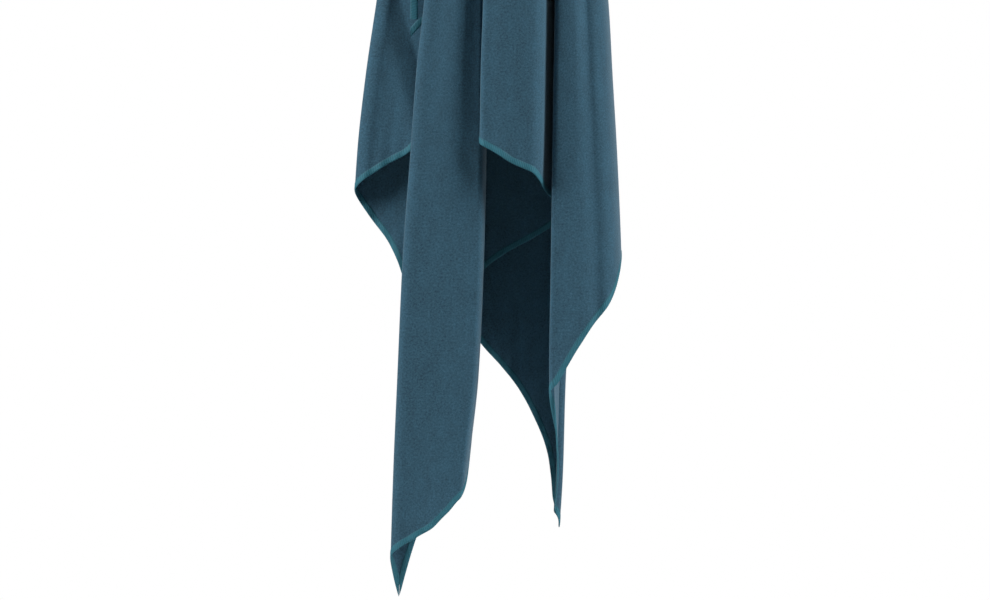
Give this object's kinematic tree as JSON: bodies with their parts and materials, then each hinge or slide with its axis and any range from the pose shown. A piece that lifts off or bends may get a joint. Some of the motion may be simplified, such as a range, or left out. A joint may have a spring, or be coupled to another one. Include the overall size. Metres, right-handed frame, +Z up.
{
  "type": "quick dry towel",
  "caption": "Thin suede microfibre towel hanging in deep folds from a snap strap loop, with overlocked edges.",
  "frame": {"origin": "inside the top of the strap loop, where a hook or rail carries the towel", "axes": "+Z up, the towel hangs along -Z; the front of the towel faces -Y; the loop's eye runs along X"},
  "size_m": [0.2155, 0.1184, 0.9376],
  "materials": {
    "suede": "short suede nap",
    "overlock": "overlock thread",
    "webbing": "flat woven tape",
    "snap_shell": "satin moulded",
    "snap_metal": "nickel plated",
    "thread": "sewing thread"
  },
  "bodies": {
    "towel": {"towel_cloth": "suede", "hem_left_side": "overlock", "hem_lower_side": "overlock", "hem_right_side": "overlock", "hem_upper_left": "overlock", "hem_upper_right": "overlock", "strap_sewn_half": "webbing", "strap_stitch": "thread", "snap_stud": "snap_metal", "snap_post": "snap_shell"},
    "strap_flap": {"strap_free_half": "webbing", "snap_cap": "snap_shell", "snap_socket": "snap_metal"}
  },
  "joints": [
    {"name": "loop_open", "type": "hinge", "parent": "towel", "child": "strap_flap", "pos_m": [0, 0, 0.0006], "axis": [-1, 0, 0], "range_deg": [0, 100]}
  ]
}
